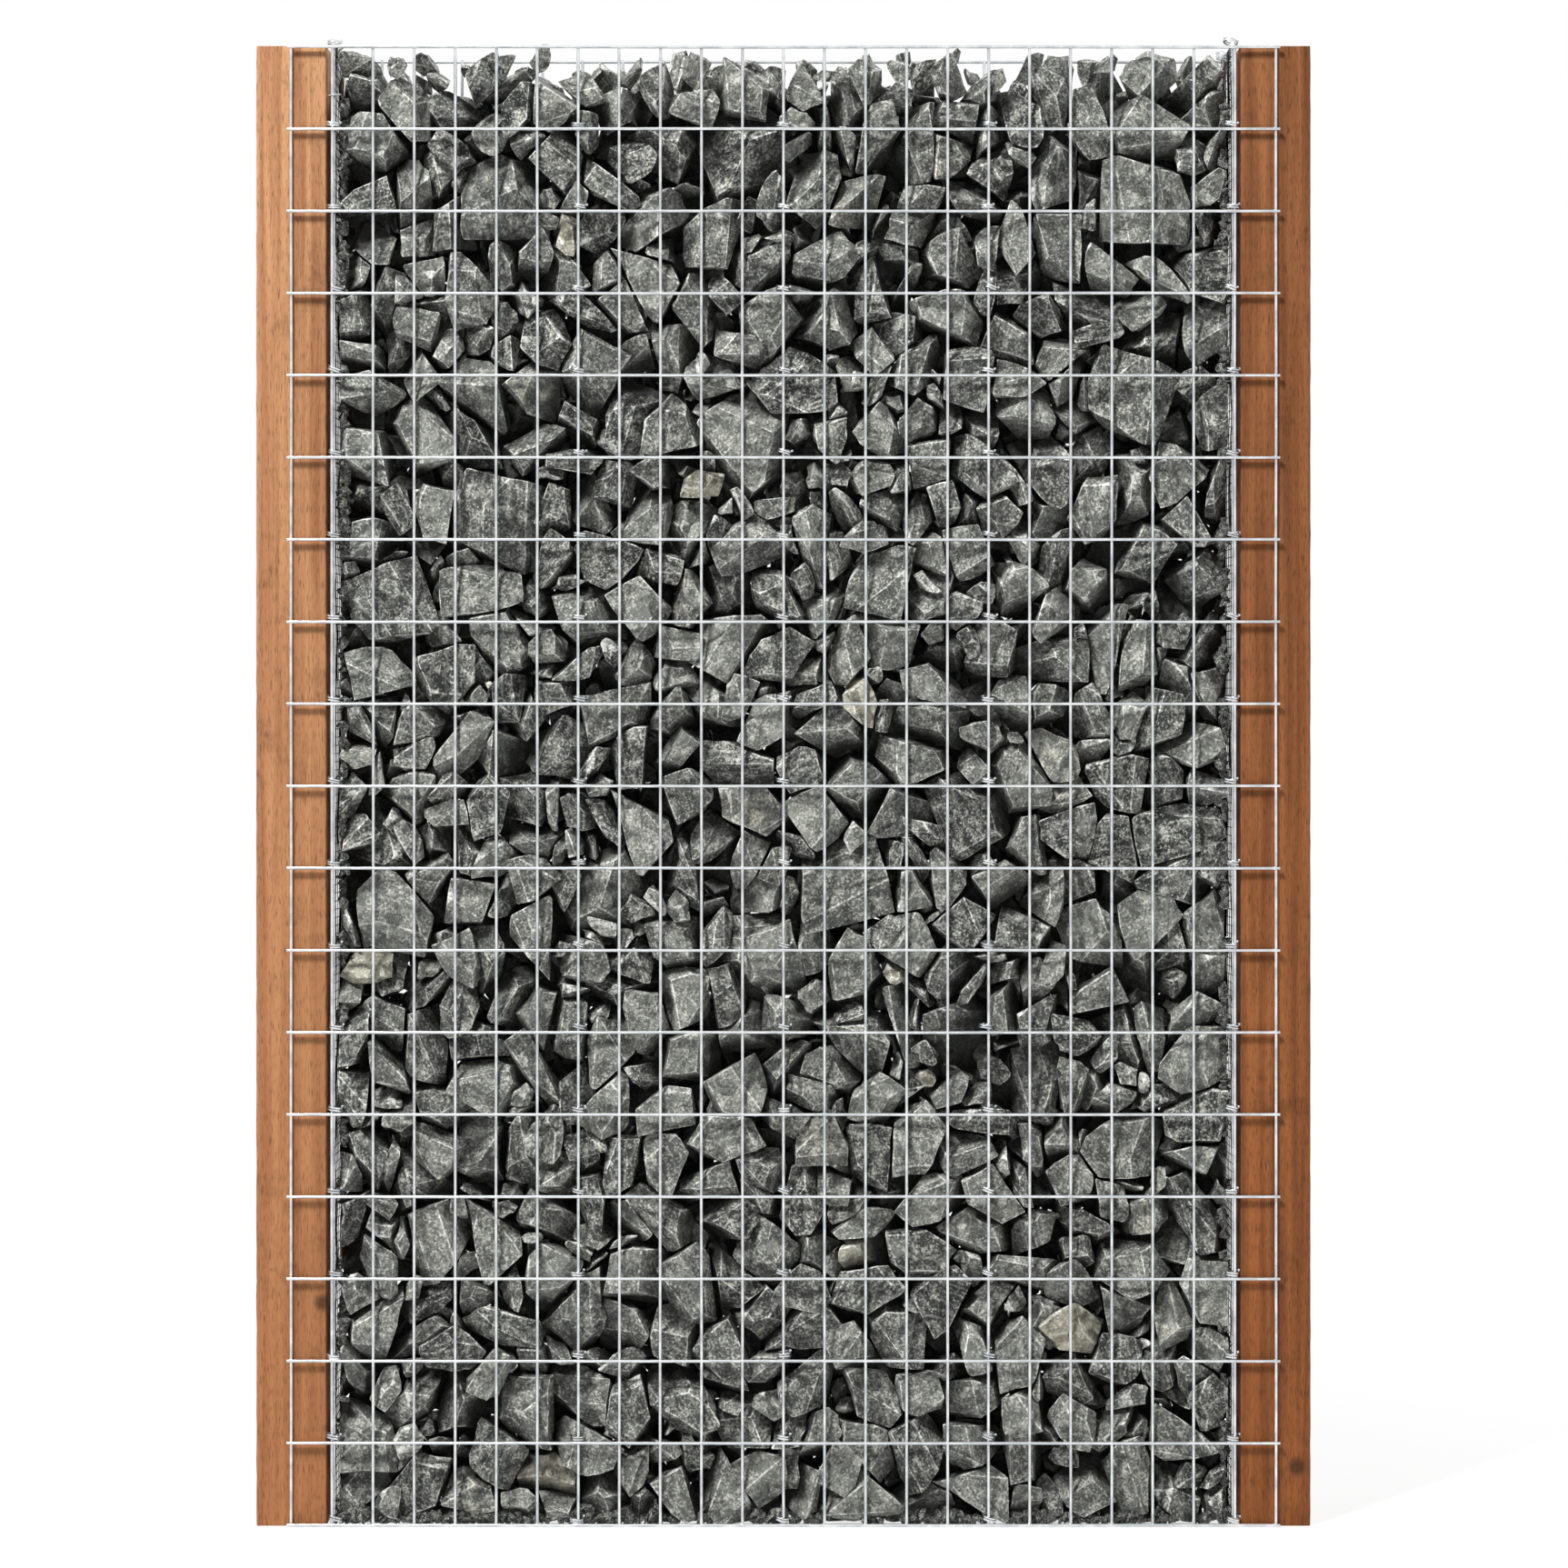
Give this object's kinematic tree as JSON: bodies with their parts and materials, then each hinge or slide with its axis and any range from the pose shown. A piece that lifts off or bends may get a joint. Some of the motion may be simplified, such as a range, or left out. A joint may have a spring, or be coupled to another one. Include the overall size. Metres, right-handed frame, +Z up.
{
  "type": "gabion fence bay",
  "caption": "Narrow gabion fence bay: welded wire panels on hardwood posts, tied together and filled with loose crushed dark stone.",
  "frame": {"origin": "centre of the left post's underside, at ground level", "axes": "+X along the wall to the other post, +Y from the front panel to the back panel, +Z up"},
  "size_m": [1.285, 0.1016, 1.8099],
  "materials": {
    "left_post_hardwood": "planed, oiled, lightly weathered",
    "right_post_hardwood": "planed, oiled, lightly weathered",
    "mesh_wire": "galvanised drawn wire, satin",
    "tie_wire": "galvanised drawn wire, satin",
    "liner_mesh": "fine galvanised welded mesh, dull",
    "crushed_stone": "rough split faces, dry"
  },
  "bodies": {
    "root": {"back_left_corner_rod": "tie_wire", "back_mesh_lower": "mesh_wire", "back_mesh_upper": "mesh_wire", "back_right_corner_rod": "tie_wire", "centre_ties": "tie_wire", "front_left_corner_rod": "tie_wire", "front_mesh_lower": "mesh_wire", "front_mesh_upper": "mesh_wire", "front_right_corner_rod": "tie_wire", "left_end_liner": "liner_mesh", "left_end_ties": "tie_wire", "left_inner_ties": "tie_wire", "left_post": "left_post_hardwood", "right_end_liner": "liner_mesh", "right_end_ties": "tie_wire", "right_inner_ties": "tie_wire", "right_post": "right_post_hardwood", "stone_bay_1_lower": "crushed_stone", "stone_bay_1_upper": "crushed_stone", "stone_bay_2_lower": "crushed_stone", "stone_bay_2_upper": "crushed_stone", "stone_bay_3_lower": "crushed_stone", "stone_bay_3_upper": "crushed_stone", "stone_bay_4_lower": "crushed_stone", "stone_bay_4_upper": "crushed_stone"}
  },
  "joints": []
}
